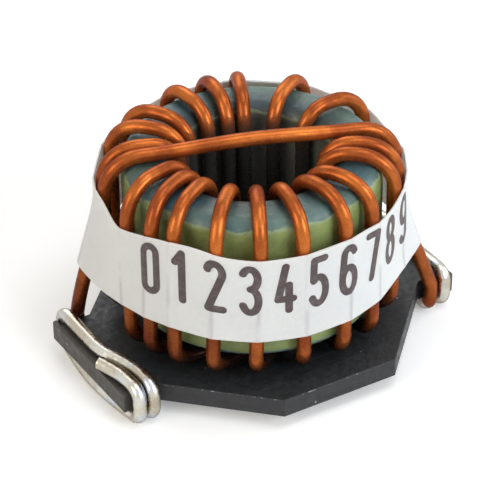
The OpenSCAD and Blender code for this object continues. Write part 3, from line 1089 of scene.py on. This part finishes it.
@dataclass
class PaperBand:
    """The paper strip wrapped round the coil and both leads, its ends overlapped at the back."""

    winding: Winding
    height: float = 7.5
    thickness: float = 0.12
    gap: float = 0.12
    tilt: float = 2.4
    rise: float = 0.95
    high_angle: float = 58.0
    lap_angle: float = 58.0
    lap_width: float = 22.0
    lap_ramp: float = 2.0
    lap_gap: float = 0.012
    columns: int = 760
    rows: int = 14
    crease: float = 0.03
    soften: float = 2.2
    mark_width: float = 0.75
    reach_halves: int = 120  # Half degrees either way within which one wire can hold the paper off
    soften_halves: int = 14
    lift_blur: int = 4
    sharp_angle: float = 40.0
    edges: tuple[tuple[float, float, float], ...] = (  # Angle, lift of the lower edge, lift of the upper edge
        (150, 0.5, 0), (158, 1.0, 0), (166, 0.35, 0), (172, 0, -0.1), (178, 0, -0.55), (184, 0.05, -0.4),
        (190, 0.25, -0.05), (197, 0.32, 0.4), (205, 0.45, 0.7), (212, 0.35, 0.78), (220, 0.22, 0.6),
        (228, 0.12, 0.15), (236, 0.02, -0.1), (250, -0.12, -0.2), (270, -0.2, -0.2), (285, -0.27, -0.22),
        (295, -0.27, -0.5), (305, -0.27, -0.7), (315, -0.2, -0.3), (330, 0, 0))
    radii: Points | None = None

    def __post_init__(self) -> None:
        """Works out how far the band stands from the axis, for each row and each half degree."""
        self.radii = np.array([self.stretched_round(z) for z in self.row_heights()])

    def row_heights(self) -> Points:
        """Heights of the band's rows before it is tilted."""
        middle = (self.winding.core.bottom + self.winding.core.top) / 2 + self.rise
        return middle + self.height * (np.arange(self.rows) / (self.rows - 1) - 0.5)

    def wrapped(self, z: float) -> Points:
        """Finds the wires that the band wraps.

        Args:
            z: A height.

        Returns:
            The wires' plan positions at that height, from the core's axis.
        """
        w = self.winding
        low, high = w.low_z + w.under_bend_r, w.high_z - w.outer_bend_r
        tops = (w.cross_down, *w.run_angles[:-1])
        angles = [mix(w.foot_angle(i), top, (z - low) / (high - low)) for i, top in enumerate(tops)]
        flat = [polar(w.run_r(a), a, 0)[:2] for a in angles]
        for terminal in Terminal:
            x, y, height = np.array(terminal.placed(w.lead(terminal)))[::-1].T
            flat.append(np.array([np.interp(z, height, x) + w.core.shift, np.interp(z, height, y)]))
        return np.array(flat)

    def stretched_round(self, z: float) -> Points:
        """Stretches a band round the wires.

        Args:
            z: A height.

        Returns:
            Distances of the band from the axis at that height, for each half degree.
        """
        halves = np.arange(HALF_DEGREES)
        angles = np.radians(halves / 2)
        along = np.array([np.cos(angles), np.sin(angles)])
        reach = (self.wrapped(z) @ along).max(axis=0) + self.winding.wire_r + self.gap
        fan = np.arange(-self.reach_halves, self.reach_halves + 1)
        limits = reach[(halves[:, None] + fan) % HALF_DEGREES] / np.cos(np.radians(fan / 2))
        band = limits.min(axis=1)
        steps = np.arange(-self.soften_halves, self.soften_halves + 1)
        weights = np.exp(-(steps / 2 / self.soften) ** 2 / 2)
        band = sum(w * np.roll(band, k) for k, w in zip(steps, weights)) / weights.sum()
        return band + self.crease * self.pressed(halves / 2, z)

    def pressed(self, angles: Points, z: float) -> Points:
        """Works out how strongly the wires press against the band.

        Args:
            angles: Angles round the core's axis.
            z: A height.

        Returns:
            The pressure at each angle, from 0 to 1.
        """
        total = np.zeros(len(angles))
        for x, y in self.wrapped(z):
            off = (angles - math.degrees(math.atan2(y, x)) + 180) % 360 - 180
            total = total + np.exp(-(off / self.mark_width) ** 2)
        return np.minimum(total, 1.0)

    def radius(self, angle: float, row: int) -> float:
        """Distance of the band's inner face from the axis."""
        ring = np.append(self.radii[row], self.radii[row][0])
        return float(np.interp(angle % 360, np.arange(HALF_DEGREES + 1) / 2, ring))

    def lift(self, angle: float, share: float) -> float:
        """Works out how far the strip lies over its slanted plane.

        Args:
            angle: Angle round the core's axis.
            share: Share of the strip's height, from its lower edge.

        Returns:
            The height over the plane.
        """
        at, *sides = zip(*self.edges)
        near = angle % 360 + np.arange(-self.lift_blur, self.lift_blur + 1)
        low, top = (float(np.interp(near, at, side, left=0.0, right=0.0).mean()) for side in sides)
        return mix(low, top, share)

    def place(self, angle: float, row: float, out: float) -> Points:
        """A point on the band.

        Args:
            angle: Angle round the core's axis.
            row: Row number, which may lie between two rows.
            out: Distance outwards from the inner face.

        Returns:
            The point, with the band's tilt.
        """
        low = min(int(row), self.rows - 2)
        r = mix(self.radius(angle, low), self.radius(angle, low + 1), row - low) + out
        heights = self.row_heights()
        share = row / (self.rows - 1)
        point = polar(r, angle, mix(heights[0], heights[-1], share))
        high = math.radians(self.high_angle)
        uphill = point[0] * math.cos(high) + point[1] * math.sin(high)
        point[2] += math.tan(math.radians(self.tilt)) * uphill
        point[2] += self.lift(angle, share)
        point[0] -= self.winding.core.shift
        return point

    def build(self) -> bpy.types.Object:
        """Builds the strip from its inner end once round to its outer end.

        Returns:
            The strip.
        """
        start = self.lap_angle - self.lap_width / 2
        turns = start + (360 + self.lap_width) * np.arange(self.columns) / (self.columns - 1)
        verts = []
        for angle in turns:
            over = ease((angle - start - 360) / self.lap_ramp + 1) * (self.thickness + self.lap_gap)
            for out in (0.0, self.thickness):
                verts += [self.place(angle, row, over + out) for row in range(self.rows)]
        per = 2 * self.rows
        rim = list(range(self.rows)) + list(range(per - 1, self.rows - 1, -1))
        faces = [(i * per + a, i * per + b, (i + 1) * per + b, (i + 1) * per + a)
                 for i in range(self.columns - 1) for a, b in zip(rim, rim[1:] + rim[:1])]
        faces.append(tuple(reversed(rim)))
        faces.append(tuple((self.columns - 1) * per + k for k in rim))
        band = mesh_object("paper_band", np.array(verts), faces)
        with editing(band.data) as work:
            bmesh.ops.recalc_face_normals(work, faces=work.faces)
        band.data.set_sharp_from_angle(angle=math.radians(self.sharp_angle))
        # Where the wires press, as an attribute for the painted shade in the paper's material
        marks = np.array([self.pressed(turns, z) for z in self.row_heights()])
        press_shade = band.data.attributes.new("pressed", "FLOAT", "POINT")
        press_shade.data.foreach_set("value", np.tile(marks.T, (1, 2)).ravel().astype(np.float32))
        link_material(band, LabelPaper().make())
        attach(band, "root")
        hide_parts("label")
        LOG.info("label: strip %.1f mm wide", self.height)
        return band


class Digits:
    """Upright narrow digits, each drawn with strokes in a box one wide and one high."""

    @staticmethod
    def arc(cx: float, cy: float, rx: float, ry: float, start: float, stop: float) -> list[Span]:
        """Draws an elliptical arc.

        Args:
            cx: Place of the middle across the box.
            cy: Place of the middle up the box.
            rx: Half width.
            ry: Half height.
            start: First angle.
            stop: Last angle.

        Returns:
            Points along the arc.
        """
        angles = [math.radians(mix(start, stop, s)) for s in shares(max(4, int(abs(stop - start) / 10)))]
        return [(cx + rx * math.cos(a), cy + ry * math.sin(a)) for a in angles]

    @classmethod
    def strokes(cls, digit: str) -> list[list[Span]]:
        """Draws one digit.

        Args:
            digit: The digit.

        Returns:
            The points of each of its strokes.
        """
        arc = cls.arc
        drawn = {
            "0": [arc(0.5, 0.84, 0.5, 0.16, 0, 180) + arc(0.5, 0.16, 0.5, 0.16, 180, 360) + [(1.0, 0.84)]],
            "1": [[(0.12, 0.80), (0.58, 1.0), (0.58, 0.0)]],
            "2": [arc(0.5, 0.80, 0.5, 0.20, 165, -20) + [(0.03, 0.0), (1.0, 0.0)]],
            "3": [arc(0.46, 0.77, 0.50, 0.23, 150, -85), arc(0.48, 0.27, 0.52, 0.27, 88, -155)],
            "4": [[(0.50, 1.0), (0.0, 0.26), (1.0, 0.26)], [(0.72, 0.58), (0.72, 0.0)]],
            "5": [[(0.93, 1.0), (0.16, 1.0), (0.10, 0.56)] + arc(0.47, 0.30, 0.53, 0.30, 128, -150)],
            "6": [arc(0.54, 0.78, 0.46, 0.22, 30, 150) + [(0.02, 0.45)]
                  + arc(0.5, 0.28, 0.5, 0.28, 180, 520)],
            "7": [[(0.02, 1.0), (0.98, 1.0), (0.36, 0.0)]],
            "8": [arc(0.5, 0.77, 0.44, 0.23, -90, 270), arc(0.5, 0.27, 0.5, 0.27, 90, 450)],
            "9": [arc(0.46, 0.22, 0.46, 0.22, 210, 330) + [(0.98, 0.55)]
                  + arc(0.5, 0.72, 0.5, 0.28, 0, 340)],
        }
        return drawn[digit]


@dataclass
class PrintedDigits:
    """A row of plain digits printed on the front of the band, close to its upper edge."""

    band: PaperBand
    text: str = "0123456789"
    height: float = 4.6
    width: float = 1.76
    stroke: float = 0.60
    pitch: float = 2.66
    middle_angle: float = 256.5
    low: float = 2.5
    lift: float = 0.012
    sink: float = 0.004
    cell: float = 0.055
    reach_halves: int = 180  # Half degrees either way over which the print may run

    def angle_at(self, along: Points) -> Points:
        """Turns distances along the band's outer face into angles.

        Args:
            along: Distances from the print's middle.

        Returns:
            The angles.
        """
        row = self.band.rows // 2
        angles = self.middle_angle + np.arange(-self.reach_halves, self.reach_halves + 1) / 2
        points = np.array([polar(self.band.radius(a, row) + self.band.thickness, a, 0) for a in angles])
        lengths = np.append(0, np.cumsum(np.linalg.norm(np.diff(points, axis=0), axis=1)))
        lengths -= np.interp(self.middle_angle, angles, lengths)
        return np.interp(along, lengths, angles)

    def depth(self, digit: str, grid: Points) -> Points:
        """How far each point lies inside the inked shape of a digit.

        Args:
            digit: The digit.
            grid: Points in millimetres, from the digit's lower left corner.

        Returns:
            Distances in millimetres, less than nought outside the shape.
        """
        near = np.full(grid.shape[:-1], np.inf)
        edge = np.array([self.stroke, self.stroke]) / 2
        size = np.array([self.width, self.height]) - 2 * edge
        for line in Digits.strokes(digit):
            p = edge + np.array(line) * size
            for a, b in zip(p, p[1:]):
                along = b - a
                share = np.clip(((grid - a) @ along) / max(1e-9, float(along @ along)), 0, 1)
                near = np.minimum(near, np.linalg.norm(grid - a - share[..., None] * along, axis=-1))
        return self.stroke / 2 - near

    def outline(self, digit: str) -> tuple[list[Span], list[list[int]]]:
        """The inked shape of a digit, cut into small cells.

        Args:
            digit: The digit.

        Returns:
            Flat points in millimetres, and the cells' corner numbers.
        """
        nx, ny = int(self.width / self.cell) + 3, int(self.height / self.cell) + 3
        xs, ys = (np.arange(n) * self.cell - self.cell for n in (nx, ny))
        depth = self.depth(digit, np.stack(np.meshgrid(xs, ys, indexing="ij"), axis=-1))
        points: dict[tuple[int, int, int, int], int] = {}
        flat: list[Span] = []
        cells: list[list[int]] = []

        def corner(a: tuple[int, int], b: tuple[int, int]) -> int:
            """Numbers a corner of a cell.

            Args:
                a: A grid point inside the shape.
                b: The same point, or its neighbour outside the shape.

            Returns:
                Number of the grid point, or of the point where the shape's edge crosses between the two.
            """
            key = (*min(a, b), *max(a, b))
            if key not in points:
                share = 0.0 if a == b else depth[a] / (depth[a] - depth[b])
                points[key] = len(flat)
                flat.append((mix(xs[a[0]], xs[b[0]], share), mix(ys[a[1]], ys[b[1]], share)))
            return points[key]

        for i in range(nx - 1):
            for j in range(ny - 1):
                ring = [(i, j), (i + 1, j), (i + 1, j + 1), (i, j + 1)]
                cell = []
                for a, b in zip(ring, ring[1:] + ring[:1]):
                    if depth[a] > 0:
                        cell.append(corner(a, a))
                    if (depth[a] > 0) != (depth[b] > 0):
                        cell.append(corner(a, b) if depth[a] > 0 else corner(b, a))
                if len(cell) > 2:
                    cells.append(cell)
        return flat, cells

    def build(self) -> bpy.types.Object:
        """Builds every digit as a thin raised layer on the paper.

        Returns:
            The print.
        """
        band = self.band
        rows_per_mm = (band.rows - 1) / band.height
        verts: list[Points] = []
        faces: list[tuple[int, ...]] = []
        for i, digit in enumerate(self.text):
            left = (i - (len(self.text) - 1) / 2) * self.pitch - self.width / 2
            flat, cells = self.outline(digit)
            angles = self.angle_at(left + np.array(flat)[:, 0])
            first, count = len(verts), len(flat)
            for level in (-self.sink, self.lift):
                verts += [band.place(angle, (self.low + y) * rows_per_mm, band.thickness + level)
                          for angle, (_, y) in zip(angles, flat)]
            edges = {(a, b) for cell in cells for a, b in zip(cell, cell[1:] + cell[:1])}
            for cell in cells:
                faces.append(tuple(first + count + k for k in cell))
                faces.append(tuple(first + k for k in reversed(cell)))
            for a, b in edges:
                if (b, a) not in edges:
                    faces.append((first + a, first + b, first + count + b, first + count + a))
        ink = mesh_object("printed_digits", np.array(verts), faces, smooth=False)
        link_material(ink, PrintInk().make())
        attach(ink, "root")
        LOG.info("print: %d digits", len(self.text))
        return ink


# Studio
# ------


def seen_directly(tree: bpy.types.NodeTree) -> Socket:
    """Tells the rays that see a surface from the light that it gathers.

    Args:
        tree: The tree that the nodes go into.

    Returns:
        One for rays from the camera, from a reflection or through glass, and nought for the others.
    """
    rays = tree.nodes.new("ShaderNodeLightPath").outputs
    total = rays["Is Camera Ray"]
    for name in ("Is Glossy Ray", "Is Transmission Ray"):
        total = add_node(tree, "ShaderNodeMath", {0: total, 1: rays[name]}, operation="MAXIMUM")
    return total


@dataclass(frozen=True)
class Lamp:
    """A soft square lamp that faces the coil, with its power in watts."""

    name: str
    azimuth: float
    elevation: float
    power: float
    colour: Point = WHITE
    size: float = 260.0
    distance: float = 450.0

    def build(self, centre: Point) -> None:
        """Hangs the lamp.

        Args:
            centre: The point that it faces.
        """
        data = bpy.data.lights.new(self.name, "AREA")
        data.shape = "SQUARE"
        data.size = self.size * MM
        data.energy = self.power
        data.color = self.colour
        lamp = linked(self.name, data)
        away = outward(self.azimuth, self.elevation)
        lamp.location = (Vector(centre) + away * self.distance) * MM
        lamp.rotation_euler = away.to_track_quat("Z", "Y").to_euler()


@dataclass
class Studio:
    """Pale floor, soft light and the camera."""

    azimuth: float = -32.033
    elevation: float = 34.489
    distance: float = 200.0
    aim_yaw: float = -0.075
    aim_pitch: float = 35.225
    roll: float = 0.606
    lens: float = 184.37
    sensor: float = 36.0
    centre: Point = (-0.175, 0.0, 10.64)
    floor_size: float = 3000.0
    floor_tone: Point = (0.90, 0.90, 0.90)
    floor_glow: float = 0.25
    ambient: float = 0.24
    lamps: tuple[Lamp, ...] = (
        Lamp("key", 18.0, 28.0, 1.12, (0.91, 0.96, 1.0), 240.0),
        Lamp("side", -82.0, 26.0, 0.70, (1.0, 0.90, 0.74)),
        Lamp("window", 78.0, 20.0, 0.42, (0.86, 0.92, 1.0)),
        Lamp("top", 40.0, 75.0, 0.6),
        Lamp("back", 165.0, 38.0, 0.50))

    def make_floor(self) -> None:
        """Lays a wide pale floor, which the camera sees a little paler than it is."""
        r = self.floor_size / 2
        verts = np.array([(-r, -r, 0), (r, -r, 0), (r, r, 0), (-r, r, 0)])
        floor = mesh_object("floor", verts, [(0, 1, 2, 3)], smooth=False)
        s = Shader("floor_card")
        s.put(Base_Color=(*self.floor_tone, 1.0), Roughness=0.9, Specular_IOR_Level=0.0)
        strength = s.times(seen_directly(s.tree), self.floor_glow)
        glow = s.add("ShaderNodeEmission", {"Color": (*WHITE, 1.0), "Strength": strength})
        both = s.add("ShaderNodeAddShader", {0: s.surface.outputs["BSDF"], 1: glow})
        s.tree.links.new(both, s.tree.nodes["Material Output"].inputs["Surface"])
        link_material(floor, s.material)

    def make_world(self) -> None:
        """Makes an even pale surround, white to the camera."""
        world = bpy.data.worlds.new("surround")
        world.use_nodes = True
        tree = world.node_tree
        back = tree.nodes["Background"]
        back.inputs["Color"].default_value = (*WHITE, 1.0)
        strength = add_node(tree, "ShaderNodeMapRange",
                            {"Value": seen_directly(tree), "To Min": self.ambient, "To Max": 1.0})
        tree.links.new(strength, back.inputs["Strength"])
        bpy.context.scene.world = world

    def make_camera(self) -> None:
        """Places the camera and makes it the scene's."""
        data = bpy.data.cameras.new("camera")
        data.lens = self.lens
        data.sensor_width = self.sensor
        data.clip_start, data.clip_end = 0.01, 10.0
        camera = linked("camera", data)
        yaw, pitch, roll = (math.radians(v) for v in (self.aim_yaw, self.aim_pitch, self.roll))
        ahead = Matrix.Rotation(math.radians(self.azimuth), 3, "Z") @ Vector(
            (math.sin(yaw) * math.cos(pitch), math.cos(yaw) * math.cos(pitch), -math.sin(pitch)))
        flat_right = ahead.cross(Vector((0, 0, 1))).normalized()
        right = flat_right * math.cos(roll) - flat_right.cross(ahead) * math.sin(roll)
        up = right.cross(ahead)
        place = outward(self.azimuth, self.elevation) * self.distance + Vector(self.centre)
        turned = Matrix((right, up, -ahead)).transposed().to_4x4()
        camera.matrix_world = Matrix.Translation(place * MM) @ turned
        bpy.context.scene.camera = camera

    def build(self) -> None:
        """Builds the whole set."""
        self.make_camera()
        self.make_floor()
        self.make_world()
        for lamp in self.lamps:
            lamp.build(self.centre)
        bpy.context.scene.view_settings.view_transform = "Standard"


def main() -> None:
    """Builds the studio, then the object in order."""
    logging.basicConfig(level=logging.INFO, format="%(message)s")
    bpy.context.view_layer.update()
    Studio().build()
    core = RingCore()
    base = BaseSheet()
    winding = Winding(core, base)
    band = PaperBand(winding)
    core.dress()
    base.build()
    winding.build()
    band.build()
    PrintedDigits(band).build()


if __name__ == "__main__":
    main()
